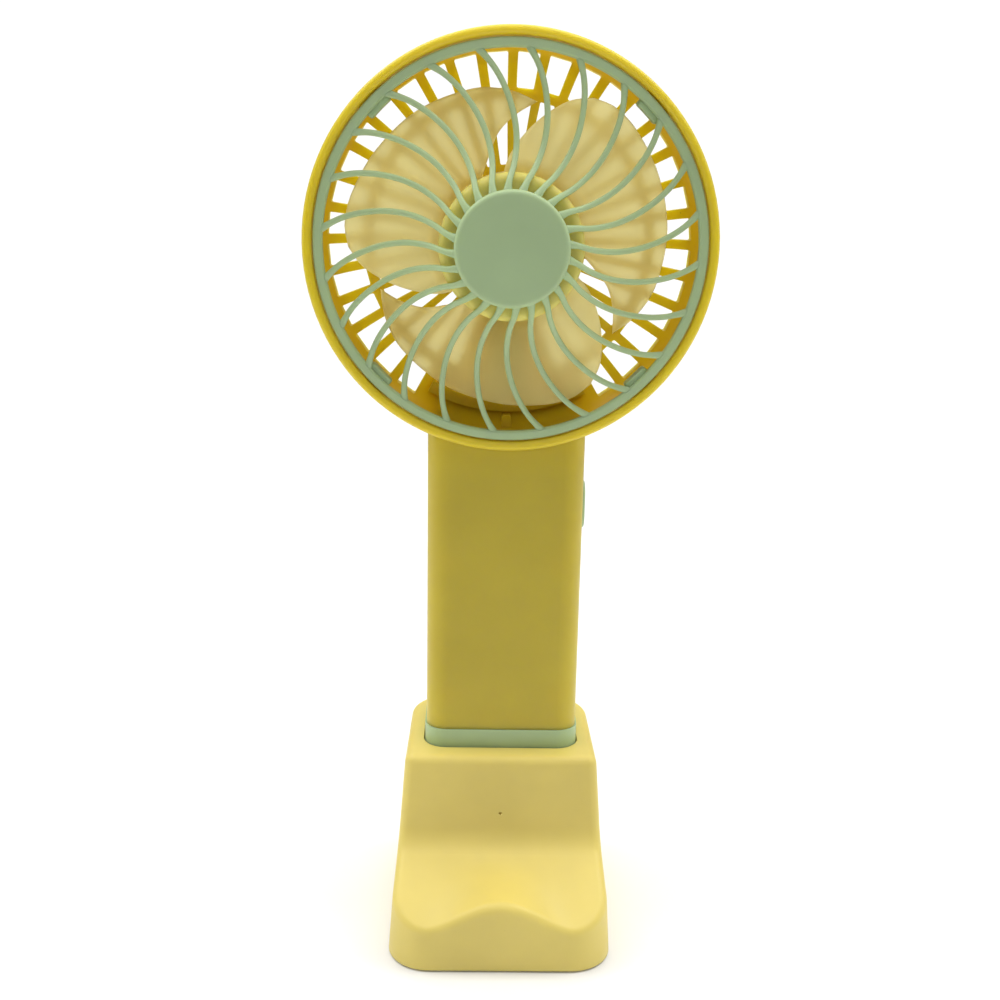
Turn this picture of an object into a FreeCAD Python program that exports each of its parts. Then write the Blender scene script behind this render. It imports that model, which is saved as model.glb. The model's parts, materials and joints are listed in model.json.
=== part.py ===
"""Handheld electric fan standing in a desk dock with a phone ledge.

Millimetres, +X to the user's right, +Y away from the user, +Z up.
The origin is on the table, under the middle of the whole object.
The air leaves the head towards -Y.
"""
import FreeCAD, Part
import math
import os

os.makedirs("parts", exist_ok=True)
V = FreeCAD.Vector
X_AXIS, Y_AXIS, Z_AXIS = V(1, 0, 0), V(0, 1, 0), V(0, 0, 1)

# ---------------------------------------------------------------- driving dimensions
# dock
DOCK_DEPTH = 66.6
DOCK_WIDTH = 56.5
DOCK_TOP_WIDTH = 50.3
DOCK_TOP_Z = 46.0
DOCK_BACK_LEAN = 0.8          # how far the back face leans in by the top
DOCK_CORNER = 10.5
DOCK_EDGE_RADIUS = 2.3
DOCK_WALL = 2.0
DOCK_SKIRT_Z = 0.5            # the shell's lower edge is this far above the table
BACKREST_TOP_Y = -8.3
BACKREST_FOOT_Y = -11.8
BACKREST_FOOT_Z = 24.0
LEDGE_FRONT_Z = 11.2          # height of the front face at its low stretches
LEDGE_FILLET = 8.0
HUMP_RISE = 7.7               # extra height of the front lip at its middle
HUMP_HALF_WIDTH = 20.0
HUMP_BACK_Y = -16.5           # the hump has faded out here
PINHOLE_Z = 31.4
BASE_Z0, BASE_Z1 = 0.9, 3.3
FOOT_RADIUS = 4.5
FOOT_SPOTS = [(x, y) for x in (-19.0, 19.0) for y in (-25.5, 25.5)]
DOCK_SCREW_SPOTS = [(x, y) for x in (-19.0, 19.0) for y in (-15.5, 13.0)]

# handle
HANDLE_WIDTH = 39.3
HANDLE_Y0, HANDLE_Y1 = -1.8, 26.2
HANDLE_CORNER = 5.25
HANDLE_FOOT_Z = 50.8
HANDLE_WALL = 1.8
PARTING_Y = 12.2
NECK_BACK = [                 # height and Y of the back, where it sweeps forward to the head
    (113.0, 26.2), (117.0, 26.1), (121.0, 25.7), (125.0, 24.8), (129.0, 23.5), (133.0, 22.0),
    (137.0, 20.9), (141.0, 20.4), (145.0, 20.2)]
NECK_ARC = 35.6               # the neck ends in an arc of this radius about the head's axis
CAP_PROUD = 0.4
CAP_FLOOR_Z = 32.3
CAP_WALL = 1.5
SOCKET_CLEARANCE = 0.35
SPIGOT_Z = 41.0

# head, where "depth" is measured backwards from the front plane of the grille ring
HEAD_Y = -3.8
HEAD_Z = 175.2
RIM_RADIUS = 49.2
RIM_BORE = 46.95
HEAD_SPLIT = 3.2              # depth at which the front and rear shells meet
BOWL_ARC_DEPTH = 8.3          # the bowl's sides are straight to here, then round into the guard
GUARD_FLAT = 32.95            # radius of the guard's flat middle
GUARD_DEPTH = BOWL_ARC_DEPTH + RIM_BORE - GUARD_FLAT
GUARD_BACK = BOWL_ARC_DEPTH + RIM_RADIUS - GUARD_FLAT
GUARD_BARS = 36
GUARD_ROW_OUT = (36.7, 44.8)
GUARD_ROW_IN = (18.6, 34.2)
GUARD_SLOT_CORNER = 0.4
GUARD_BAR = [(18.6, 1.5), (34.2, 2.15), (44.8, 2.35)]     # a bar's width by radius
NECK_SECTOR = 31.0            # degrees each side of straight down with no outer slots
SPINE_WIDTH = 13.5
SPINE_SECTOR = 15.0
SPINE_BACK = 26.9
SPINE_FOOT_Z = 128.0
CHANNEL_WIDTH = 6.8
CHANNEL_DEPTH = 25.7
CHANNEL_TOP_FOOT_Z = 144.0    # above this the channel is open to the front, under its cover

# grille
RING_INNER, RING_OUTER = 44.3, 46.6
RING_THICKNESS = 1.7
SPOKES = 24
SPOKE_FIRST = 3.5             # degrees clockwise from the top, at the ring
SPOKE_WIDTH, SPOKE_DEPTH = 1.45, 1.4
HUB_RADIUS = 13.3
HUB_FACE, HUB_BACK = -12.0, -8.2
LUG_ANGLES = (45.0, 135.0, 225.0, 315.0)
LUG_LENGTH = 6.6

# rotor and motor
ROTOR_RADIUS = 17.0
ROTOR_FRONT, ROTOR_BACK = -6.9, 13.0
BLADES = 3
BLADE_THICKNESS = 1.1
BLADE_BACK = 11.0             # depth of the tip and the leading edge
SHAFT_RADIUS = 1.0
SHAFT_FRONT = -2.0
BUSH_CLEARANCE = 0.03
MOTOR_RADIUS = 12.2
MOTOR_FRONT, MOTOR_BACK = 5.5, 17.8

# electronics and button
CELL_RADIUS, CELL_LENGTH = 9.2, 65.0
CELL_Z0 = 35.5
CELL_Y = 12.2
BOARD_Z0, BOARD_Z1 = 102.6, 124.4
BOARD_Y0, BOARD_Y1 = 14.5, 15.9
BOARD_HALF = 14.5
BUTTON_Z, BUTTON_Y = 108.6, 12.2
BUTTON_LENGTH, BUTTON_WIDTH = 12.7, 7.6
BUTTON_PROUD = 1.1
BUTTON_GAP = 0.3
USB_Z = 112.0
SHELL_SCREW_SPOTS = [(x, z) for x in (-13.6, 13.6) for z in (60.0, 96.0)]
LEAD_RADIUS = 0.6


# ---------------------------------------------------------------- helpers
def box(x0, x1, y0, y1, z0, z1):
    """A block between two corners."""
    return Part.makeBox(x1 - x0, y1 - y0, z1 - z0, V(x0, y0, z0))


def rounded_rectangle(x0, x1, y0, y1, z, radius, back_inset=0.0):
    """A level wire with rounded corners; back_inset narrows its far side."""
    corners = [V(x0, y0, z), V(x1, y0, z), V(x1 - back_inset, y1, z), V(x0 + back_inset, y1, z)]
    edges = []
    starts = []
    for i, corner in enumerate(corners):
        before = (corners[i - 1] - corner).normalize()
        after = (corners[(i + 1) % 4] - corner).normalize()
        half = before.getAngle(after) / 2
        reach = radius / math.tan(half)
        middle = corner + (before + after).normalize() * (radius / math.sin(half) - radius)
        start, end = corner + before * reach, corner + after * reach
        starts.append((start, end))
        edges.append(Part.Arc(start, middle, end).toShape())
    lines = []
    for i in range(4):
        lines.append(Part.makeLine(starts[i][1], starts[(i + 1) % 4][0]))
    ordered = [edge for pair in zip(edges, lines) for edge in pair]
    return Part.Wire(ordered)


def rounded_prism(x0, x1, y0, y1, z0, z1, radius):
    """An upright block with rounded vertical edges."""
    face = Part.Face(rounded_rectangle(x0, x1, y0, y1, z0, radius))
    return face.extrude(V(0, 0, z1 - z0))


def depth_cylinder(radius, d0, d1, x=0.0, z=HEAD_Z):
    """A cylinder along the head's axis between two depths."""
    return Part.makeCylinder(radius, d1 - d0, V(x, HEAD_Y + d0, z), Y_AXIS)


def depth_ring(r0, r1, d0, d1):
    """A ring about the head's axis."""
    return depth_cylinder(r1, d0, d1).cut(depth_cylinder(r0, d0 - 1, d1 + 1))


def head_turned(profile):
    """A closed (radius, depth) outline turned about the head's axis."""
    points = [V(r, HEAD_Y + d, HEAD_Z) for r, d in profile + profile[:1]]
    return Part.Face(Part.makePolygon(points)).revolve(V(0, 0, HEAD_Z), Y_AXIS, 360)


def bowl_solid(radius, front):
    """Everything inside a bowl: straight sides, a rounded edge and a flat back."""
    corner = radius - GUARD_FLAT
    back = BOWL_ARC_DEPTH + corner
    diagonal = corner * math.sqrt(0.5)

    def at(r, d):
        return V(r, HEAD_Y + d, HEAD_Z)
    side_end, flat_start = at(radius, BOWL_ARC_DEPTH), at(GUARD_FLAT, back)
    edges = [Part.makeLine(at(0, front), at(radius, front)),
             Part.makeLine(at(radius, front), side_end),
             Part.Arc(side_end, at(GUARD_FLAT + diagonal, BOWL_ARC_DEPTH + diagonal),
                      flat_start).toShape(),
             Part.makeLine(flat_start, at(0, back)), Part.makeLine(at(0, back), at(0, front))]
    return Part.Face(Part.Wire(edges)).revolve(V(0, 0, HEAD_Z), Y_AXIS, 360)


def head_point(radius, clockwise, depth):
    """A point in the head, its angle in degrees clockwise from the top seen from the front."""
    a = math.radians(clockwise)
    return V(radius * math.sin(a), HEAD_Y + depth, HEAD_Z + radius * math.cos(a))


def turned(shape, clockwise):
    """A copy turned about the head's axis, clockwise seen from the front."""
    copy = shape.copy()
    copy.rotate(V(0, 0, HEAD_Z), Y_AXIS, clockwise)
    return copy


def head_sector(r0, r1, d0, d1, clockwise, half_angle):
    """A piece of a ring about the head's axis, centred on one angle."""
    ring = depth_ring(r0, r1, d0, d1)
    reach = 2 * r1
    corners = [V(0, HEAD_Y + d0 - 1, HEAD_Z)]
    for a in (-half_angle, half_angle):
        corners.append(head_point(reach, clockwise + a, d0 - 1))
    wedge = Part.Face(Part.makePolygon(corners + corners[:1])).extrude(V(0, d1 - d0 + 2, 0))
    return ring.common(wedge)


def fused(first, *others):
    """One clean solid out of several that touch or overlap."""
    return first.fuse(list(others)).removeSplitter()


def interpolate(value, stations):
    """Straight interpolation in a list of (input, output) pairs in rising order."""
    for (a0, b0), (a1, b1) in zip(stations, stations[1:]):
        if value <= a1:
            return b0 + (b1 - b0) * max(0.0, value - a0) / (a1 - a0)
    return stations[-1][1]


def lead(points):
    """A wire's tube: straight runs joined by tangent arcs as large as the runs allow."""
    edges = []
    at = points[0]
    for before, corner, after in zip(points, points[1:], points[2:]):
        back, on = (before - corner), (after - corner)
        turn = math.pi - back.getAngle(on)
        reach = 0.45 * min(back.Length, on.Length)
        radius = reach / math.tan(turn / 2)
        back, on = back.normalize(), on.normalize()
        start, end = corner + back * reach, corner + on * reach
        bisector = (back + on).normalize()
        middle = corner + bisector * (radius / math.cos(turn / 2) - radius)
        edges += [Part.makeLine(at, start), Part.Arc(start, middle, end).toShape()]
        at = end
        print("lead bend radius", round(radius, 1))
    edges.append(Part.makeLine(at, points[-1]))
    path = Part.Wire(edges)
    direction = (points[1] - points[0]).normalize()
    section = Part.Wire(Part.makeCircle(LEAD_RADIUS, points[0], direction))
    tube = path.makePipeShell([section], True, False)
    expected = math.pi * LEAD_RADIUS ** 2 * path.Length
    print("lead volume over section times length", round(tube.Volume / expected, 3))
    return tube


# ---------------------------------------------------------------- dock
def tread_height(y):
    """The sloping phone ledge, without its hump."""
    front = -DOCK_DEPTH / 2
    slope = (BACKREST_FOOT_Z - LEDGE_FRONT_Z) / (BACKREST_FOOT_Y - front)
    return LEDGE_FRONT_Z + slope * (y - front)


def hump_height(x, y):
    """How far the front lip's middle rises above the ledge."""
    if abs(x) >= HUMP_HALF_WIDTH or y >= HUMP_BACK_Y:
        return 0.0
    across = 0.5 * (1 + math.cos(math.pi * x / HUMP_HALF_WIDTH))
    run = min(1.0, (HUMP_BACK_Y - y) / (HUMP_BACK_Y + DOCK_DEPTH / 2))
    return HUMP_RISE * across * run ** 1.6


def ledge_fillet(drop):
    """Start, middle and end of the arc from the phone ledge up into the backrest."""
    foot = V(0, BACKREST_FOOT_Y + drop, BACKREST_FOOT_Z - drop)
    lean = V(0, BACKREST_TOP_Y - BACKREST_FOOT_Y, DOCK_TOP_Z - BACKREST_FOOT_Z).normalize()
    along = V(0, -1, tread_height(0) - tread_height(1)).normalize()
    half = lean.getAngle(along) / 2
    reach = LEDGE_FILLET / math.tan(half)
    bisector = (along + lean).normalize()
    middle = foot + bisector * (LEDGE_FILLET / math.sin(half) - LEDGE_FILLET)
    top = foot + lean * ((DOCK_TOP_Z - foot.z) / lean.z)
    return foot + along * reach, middle, foot + lean * reach, top


def ledge_block(drop):
    """Everything under the phone ledge, up to where the fillet to the backrest begins."""
    half, front, back = DOCK_WIDTH, -DOCK_DEPTH / 2 - 2, ledge_fillet(drop)[0].y
    columns = [half * i / 22 for i in range(-22, 23)]
    rows = [front + (back - front) * i / 14 for i in range(15)]
    grid = [[V(x, y, tread_height(y - drop) - drop + hump_height(x, y))
             for x in columns] for y in rows]
    surface = Part.BSplineSurface()
    surface.interpolate(grid)
    deep = V(0, 0, -2 * DOCK_TOP_Z)
    return surface.toShape().extrude(deep)


def backrest_block(drop):
    """The rest of the dock's side outline: fillet, backrest and flat top."""
    low, middle, high, top = ledge_fillet(drop)
    far, deep = DOCK_DEPTH, -DOCK_TOP_Z
    corners = [top, V(0, far, top.z), V(0, far, deep), V(0, low.y, deep), low]
    edges = [Part.makeLine(a, b) for a, b in zip(corners, corners[1:])]
    edges += [Part.Arc(low, middle, high).toShape(), Part.makeLine(high, top)]
    face = Part.Face(Part.Wire(edges))
    face.translate(V(-DOCK_WIDTH, 0, 0))
    return face.extrude(V(2 * DOCK_WIDTH, 0, 0))


def dock_envelope(inset):
    """The dock's drafted plan, wider at the table than at the top."""
    half_low, half_high = DOCK_WIDTH / 2 - inset, DOCK_TOP_WIDTH / 2 - inset
    front, back = -DOCK_DEPTH / 2 + inset, DOCK_DEPTH / 2 - inset
    low = rounded_rectangle(-half_low, half_low, front, back, DOCK_SKIRT_Z, DOCK_CORNER - inset, 1.0)
    high = rounded_rectangle(-half_high, half_high, front, back - DOCK_BACK_LEAN, DOCK_TOP_Z,
                             DOCK_CORNER - inset, 1.0)
    return Part.makeLoft([low, high], True, True)


def dock_solid(inset):
    """The dock's outer body, or with an inset its hollow."""
    seat = ledge_block(inset).fuse(backrest_block(inset)).removeSplitter()
    body = dock_envelope(inset).common(seat)
    if inset:
        return body.common(box(-DOCK_WIDTH, DOCK_WIDTH, -DOCK_DEPTH, DOCK_DEPTH,
                               -1, DOCK_TOP_Z - inset))
    return body


def softened(dock):
    """The dock's body with its upper edges rounded, all but the two along the seat's fillet."""
    edges = []
    for edge in dock.Edges:
        size, middle = edge.BoundBox, edge.CenterOfMass
        across = size.XLength > 0.6 * DOCK_WIDTH
        on_top, on_front = middle.z > DOCK_TOP_Z - 1, middle.y < 1 - DOCK_DEPTH / 2
        if size.ZMin > DOCK_SKIRT_Z + 1 and (not across or on_top or on_front):
            edges.append(edge)
    return dock.makeFillet(DOCK_EDGE_RADIUS, edges)


def cap_outline(grow, z0, z1):
    """A prism of the end cap's outline, grown all round."""
    half = HANDLE_WIDTH / 2 + CAP_PROUD + grow
    return rounded_prism(-half, half, HANDLE_Y0 - CAP_PROUD - grow, HANDLE_Y1 + CAP_PROUD + grow,
                         z0, z1, HANDLE_CORNER + CAP_PROUD + grow)


def make_dock_shell():
    outer = softened(dock_solid(0.0))
    boss_radius, pilot_radius = 2.8, 1.0
    shell = outer.cut(dock_solid(DOCK_WALL))
    keep = outer.common(box(-DOCK_WIDTH, DOCK_WIDTH, -DOCK_DEPTH, DOCK_DEPTH,
                            BASE_Z1, DOCK_TOP_Z - 1))
    for x, y in DOCK_SCREW_SPOTS:
        boss = Part.makeCylinder(boss_radius, DOCK_TOP_Z, V(x, y, BASE_Z1))
        shell = shell.fuse(boss.common(keep))
    well = cap_outline(SOCKET_CLEARANCE + 1.6, CAP_FLOOR_Z - 2.0, DOCK_TOP_Z - 0.5)
    shell = shell.fuse(well.common(outer)).removeSplitter()
    shell = shell.cut(cap_outline(SOCKET_CLEARANCE, CAP_FLOOR_Z, DOCK_TOP_Z + 1))
    for x, y in DOCK_SCREW_SPOTS:
        shell = shell.cut(Part.makeCylinder(pilot_radius, 9.0, V(x, y, BASE_Z1 - 1)))
    lean = V(0, BACKREST_TOP_Y - BACKREST_FOOT_Y, DOCK_TOP_Z - BACKREST_FOOT_Z).normalize()
    inward = V(0, lean.z, -lean.y)
    share = (PINHOLE_Z - BACKREST_FOOT_Z) / (DOCK_TOP_Z - BACKREST_FOOT_Z)
    face_y = BACKREST_FOOT_Y + share * (BACKREST_TOP_Y - BACKREST_FOOT_Y)
    return shell.cut(Part.makeCylinder(0.4, 1.2, V(0, face_y, PINHOLE_Z) - inward * 0.4, inward))


def make_dock_base():
    inset = DOCK_WALL + 0.25
    plate = dock_envelope(inset).common(box(-60, 60, -60, 60, BASE_Z0, BASE_Z1))
    for x, y in FOOT_SPOTS:
        plate = plate.cut(Part.makeCylinder(FOOT_RADIUS, 1.7, V(x, y, 0)))
    for x, y in DOCK_SCREW_SPOTS:
        plate = plate.cut(Part.makeCylinder(2.3, 2.1, V(x, y, 0)))
        plate = plate.cut(Part.makeCylinder(1.1, 5.0, V(x, y, 0)))
    return plate


def make_dock_feet():
    feet = []
    for x, y in FOOT_SPOTS:
        foot = Part.makeCylinder(FOOT_RADIUS, 1.7, V(x, y, 0))
        feet.append(foot.makeChamfer(0.3, [foot.Edges[2]]))
    return Part.makeCompound(feet)


def screw(base, direction, head_radius, head_height, shank_radius, length):
    """A pan-head screw; base is the middle of the head's outer face."""
    head = Part.makeCylinder(head_radius, head_height, base, direction)
    shank = Part.makeCylinder(shank_radius, length, base + direction * head_height, direction)
    cross = None
    for turn in (0, 90):
        slot = Part.makeBox(0.5, 2.4, 0.7, V(-0.25, -1.2, 0))
        slot.rotate(V(0, 0, 0), Z_AXIS, turn)
        cross = slot if cross is None else cross.fuse(slot)
    turned_to = FreeCAD.Rotation(Z_AXIS, direction)
    cross.Placement = FreeCAD.Placement(base, turned_to)
    return head.fuse(shank).removeSplitter().cut(cross)


def make_dock_screws():
    return Part.makeCompound([screw(V(x, y, 1.0), Z_AXIS, 2.0, 1.1, 0.98, 8.0)
                              for x, y in DOCK_SCREW_SPOTS])


# ---------------------------------------------------------------- handle and head shells
def handle_solid(inset, z0, z1):
    """The handle, whose back sweeps forward into the head above NECK_BACK's first height."""
    half = HANDLE_WIDTH / 2 - inset
    grip_top = NECK_BACK[0][0]
    front = HANDLE_Y0 + inset
    grip = rounded_prism(-half, half, front, HANDLE_Y1 - inset, z0, grip_top, HANDLE_CORNER - inset)
    levels = [(z, y) for z, y in NECK_BACK if z <= z1]
    sections = []
    for z, back in levels:
        corner = min(HANDLE_CORNER, 0.42 * (back - HANDLE_Y0)) - inset
        sections.append(rounded_rectangle(-half, half, front, back - inset, z, corner))
    return grip.fuse(Part.makeLoft(sections, True, False))


def head_bowl():
    """The rim, the head's side wall and the guard behind the blades, as one turned solid."""
    lip_depth, lip_front = 0.6, -0.5
    bowl = bowl_solid(RIM_RADIUS, lip_depth).cut(bowl_solid(RIM_BORE, lip_depth - 20))
    ends = [V(r, HEAD_Y + lip_depth, HEAD_Z) for r in (RIM_BORE, RIM_RADIUS)]
    crest = V((RIM_BORE + RIM_RADIUS) / 2, HEAD_Y + lip_front, HEAD_Z)
    section = Part.Wire([Part.Arc(ends[0], crest, ends[1]).toShape(), Part.makeLine(*ends[::-1])])
    return bowl.fuse(Part.Face(section).revolve(V(0, 0, HEAD_Z), Y_AXIS, 360))


def guard_slot(r0, r1, clockwise):
    """One slot between two guard bars, its ends rounded."""
    pitch = math.radians(360.0 / GUARD_BARS)
    depth0, depth1 = BOWL_ARC_DEPTH, SPINE_BACK + 3
    half0, half1 = (r * math.sin(pitch / 2) - interpolate(r, GUARD_BAR) / 2 for r in (r0, r1))
    y = HEAD_Y + depth0
    corners = [V(-half0, y, r0), V(-half1, y, r1), V(half1, y, r1), V(half0, y, r0)]
    slot = Part.Face(Part.makePolygon(corners + corners[:1])).extrude(V(0, depth1 - depth0, 0))
    upright = [e for e in slot.Edges if abs(e.tangentAt(e.FirstParameter).y) > 0.99]
    slot = slot.makeFillet(GUARD_SLOT_CORNER, upright)
    slot.translate(V(0, 0, HEAD_Z))
    return turned(slot, clockwise)


def guard_slots():
    """All slots of the guard; the neck and the spine stay solid."""
    slots = []
    pitch = 360.0 / GUARD_BARS
    for i in range(GUARD_BARS):
        angle = pitch * (i + 0.5)
        from_below = abs(angle - 180.0)
        if from_below > NECK_SECTOR:
            slots.append(guard_slot(*GUARD_ROW_OUT, angle))
        if from_below > SPINE_SECTOR:
            slots.append(guard_slot(*GUARD_ROW_IN, angle))
    return slots


def motor_boss():
    """The motor's holder: a cup behind the rotor hub and a round boss on the back."""
    cup = depth_ring(MOTOR_RADIUS + 0.2, MOTOR_RADIUS + 1.7, MOTOR_FRONT + 2.0, GUARD_DEPTH)
    boss = depth_cylinder(15.4, GUARD_DEPTH, SPINE_BACK)
    rim = [e for e in boss.Edges if abs(e.CenterOfMass.y - HEAD_Y - SPINE_BACK) < 0.01]
    return cup, boss.makeFillet(1.2, rim)


def spine():
    """The rib on the back from the neck up to the motor; the leads run inside it."""
    half = SPINE_WIDTH / 2
    return box(-half, half, HEAD_Y + GUARD_DEPTH + 0.7, HEAD_Y + SPINE_BACK, SPINE_FOOT_Z, HEAD_Z)


def lead_channel():
    """The space for the leads in the spine, opening into the neck at its lower end."""
    half = CHANNEL_WIDTH / 2
    back = HEAD_Y + CHANNEL_DEPTH
    top = box(-half, half, HEAD_Y + GUARD_DEPTH - 1, back, CHANNEL_TOP_FOOT_Z, HEAD_Z)
    return top.fuse(box(-half, half, HEAD_Y + GUARD_BACK - 0.9, back,
                        SPINE_FOOT_Z - 1, CHANNEL_TOP_FOOT_Z))


def neck_floor():
    """Behind the grille's lowest part: a raised arc across the bowl, and a short post."""
    arc = head_sector(39.8, 42.6, 16.6, 20.75, 180.0, NECK_SECTOR - 3)
    post = box(-1.25, 1.25, HEAD_Y + 13.5, HEAD_Y + 17.6, HEAD_Z - 46.0, HEAD_Z - 43.0)
    top = [e for e in post.Edges if abs(e.CenterOfMass.z - HEAD_Z + 43.0) < 0.01
           and e.BoundBox.YLength > 1]
    return arc, post.makeFillet(0.9, top)


def shell_bosses():
    """Screw posts between the shells, each split at the parting plane."""
    posts = []
    for x, z in SHELL_SCREW_SPOTS:
        front = Part.makeCylinder(2.6, PARTING_Y - HANDLE_Y0 - 1, V(x, HANDLE_Y0 + 1, z), Y_AXIS)
        rear = Part.makeCylinder(3.2, HANDLE_Y1 - 1 - PARTING_Y, V(x, PARTING_Y, z), Y_AXIS)
        posts += [front, rear]
    return posts


def shell_body():
    """Handle, neck and head as one hollow body, before it is parted into two shells."""
    body = handle_solid(0.0, HANDLE_FOOT_Z, NECK_BACK[-1][0])
    body = body.cut([bowl_solid(RIM_BORE, -20), depth_cylinder(NECK_ARC, -20, 40)])
    body = fused(body, head_bowl(), *motor_boss(), spine())
    spigot_inset = CAP_WALL - CAP_PROUD + 0.1
    spigot = rounded_prism(-HANDLE_WIDTH / 2 + spigot_inset, HANDLE_WIDTH / 2 - spigot_inset,
                           HANDLE_Y0 + spigot_inset, HANDLE_Y1 - spigot_inset,
                           SPIGOT_Z, HANDLE_FOOT_Z + 1, HANDLE_CORNER - spigot_inset)
    for piece in (spigot, *neck_floor()):
        body = body.fuse(piece)
    body = body.removeSplitter()
    hollow = handle_solid(HANDLE_WALL, HANDLE_FOOT_Z + 3, NECK_BACK[-1][0])
    hollow = hollow.cut(bowl_solid(RIM_RADIUS + 0.8, -20))
    narrow = HANDLE_WALL + 1.1
    half = HANDLE_WIDTH / 2 - narrow
    foot = rounded_prism(-half, half, HANDLE_Y0 + narrow, HANDLE_Y1 - narrow, SPIGOT_Z - 1,
                         HANDLE_FOOT_Z + 4, HANDLE_CORNER - narrow)
    body = body.cut(fused(hollow, foot).cut(shell_bosses()))
    motor_room = depth_cylinder(MOTOR_RADIUS + 0.2, MOTOR_FRONT, MOTOR_BACK + 0.1)
    terminal_room = depth_cylinder(MOTOR_RADIUS - 1.0, MOTOR_BACK, CHANNEL_DEPTH)
    body = body.cut([motor_room, terminal_room]).cut(lead_channel()).cut(guard_slots())
    for x, z in SHELL_SCREW_SPOTS:
        counterbore = Part.makeCylinder(2.35, HANDLE_Y1 - 16.2 + 1, V(x, 16.2, z), Y_AXIS)
        shank = Part.makeCylinder(1.0, 12.0, V(x, 5.0, z), Y_AXIS)
        body = body.cut([counterbore, shank])
    usb_hole = rounded_slot(4.0, 9.8, HANDLE_Y1 - 4, HANDLE_Y1 + 1, USB_Z)
    led_hole = Part.makeCylinder(0.9, 4.0, V(0, HANDLE_Y1 - 3, BOARD_Z0 + 1.2), Y_AXIS)
    button_hole = button_prism(BUTTON_GAP, HANDLE_WIDTH / 2 - 4, HANDLE_WIDTH / 2 + 1)
    return body.cut([usb_hole, led_hole, button_hole])


def front_region():
    """The space that belongs to the front shell."""
    low = box(-60, 60, -60, PARTING_Y, 0, HEAD_Z)
    low = low.cut(depth_cylinder(RIM_RADIUS + 0.1, -60, 60))
    return low.fuse(depth_cylinder(RIM_RADIUS + 0.1, -20, HEAD_SPLIT))


def grille_ledges():
    """Four short ledges inside the rim that the grille's lugs catch behind."""
    return [head_sector(45.5, RIM_BORE + 0.2, RING_THICKNESS + 0.2, HEAD_SPLIT, a, 4.4)
            for a in LUG_ANGLES]


def make_shells():
    body = shell_body()
    region = front_region()
    front = body.common(region)
    front = fused(front, *grille_ledges())
    rear = body.cut(region)
    return largest(front), largest(rear)


def largest(shape):
    return max(shape.Solids, key=lambda s: s.Volume)


def make_channel_cover():
    """The strip that closes the leads' channel in the spine, seen through the guard."""
    half = CHANNEL_WIDTH / 2 - 0.1
    return box(-half, half, HEAD_Y + GUARD_DEPTH - 0.5, HEAD_Y + GUARD_DEPTH + 0.9,
               CHANNEL_TOP_FOOT_Z + 0.1, HEAD_Z - MOTOR_RADIUS - 2.0)


def make_end_cap():
    cap = cap_outline(0.0, CAP_FLOOR_Z, HANDLE_FOOT_Z)
    low_edges = [e for e in cap.Edges if abs(e.CenterOfMass.z - CAP_FLOOR_Z) < 0.01]
    cap = cap.makeFillet(0.8, low_edges)
    hollow = cap_outline(-CAP_WALL, CAP_FLOOR_Z + 2.0, HANDLE_FOOT_Z + 1)
    return cap.cut(hollow)


def make_shell_screws():
    return Part.makeCompound([screw(V(x, 18.0, z), V(0, -1, 0), 2.2, 1.8, 0.98, 10.5)
                              for x, z in SHELL_SCREW_SPOTS])


# ---------------------------------------------------------------- grille
def spoke_offset(radius):
    """How far round, in degrees clockwise, the spoke's middle lies from its ring end."""
    return interpolate(radius, [(HUB_RADIUS - 2, 4.4), (15.0, 7.8), (18.5, 11.7), (23.0, 13.1),
                                (28.0, 12.1), (34.0, 9.1), (40.0, 5.0), (46.0, -0.4)])


def spoke_depth(radius):
    """Depth of the spoke's middle: the grille is domed towards the user."""
    return interpolate(radius, [(HUB_RADIUS - 2, -10.2), (15.0, -8.7), (17.0, -7.0), (20.0, -5.0),
                                (23.0, -3.5), (28.0, -1.9), (34.0, -0.6), (40.0, 0.4), (46.0, 0.85)])


def make_spoke():
    sections = []
    step = 0.2
    for radius in (HUB_RADIUS - 1.2, 14.6, 17.0, 20.0, 23.5, 28.0, 33.0, 38.0, 42.0, 45.3):
        at = head_point(radius, spoke_offset(radius), spoke_depth(radius))
        on = head_point(radius + step, spoke_offset(radius + step), spoke_depth(radius + step))
        along = (on - at).normalize()
        wide = along.cross(Y_AXIS).normalize()
        deep = wide.cross(along).normalize()
        oval = Part.Ellipse(at + wide * (SPOKE_WIDTH / 2), at + deep * (SPOKE_DEPTH / 2), at)
        sections.append(Part.Wire(oval.toShape()))
    return Part.makeLoft(sections, True, False)


def grille_lug(clockwise):
    """A hook behind the ring: a post, and a foot that catches behind the rim's ledge."""
    half = math.degrees(LUG_LENGTH / 2 / RING_INNER)
    post = head_sector(43.0, 45.2, RING_THICKNESS - 0.3, 4.5, clockwise, half)
    foot = head_sector(43.0, 46.4, HEAD_SPLIT + 0.25, 4.5, clockwise, half)
    return post.fuse(foot).removeSplitter()


def make_grille():
    ring = head_turned([(RING_INNER, 0.5), (RING_INNER + 0.45, 0.05), (45.4, -0.1),
                        (RING_OUTER - 0.4, 0.05), (RING_OUTER, 0.45), (RING_OUTER, RING_THICKNESS),
                        (RING_INNER, RING_THICKNESS)])
    hub = depth_cylinder(HUB_RADIUS, HUB_FACE, HUB_BACK)
    rim = [e for e in hub.Edges if abs(e.CenterOfMass.y - HEAD_Y - HUB_FACE) < 0.01]
    hub = hub.makeFillet(1.3, rim)
    spoke = make_spoke()
    pitch = 360.0 / SPOKES
    spokes = [turned(spoke, SPOKE_FIRST + pitch * i) for i in range(SPOKES)]
    lugs = [grille_lug(a) for a in LUG_ANGLES]
    return ring.fuse([hub] + spokes + lugs)


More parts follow.
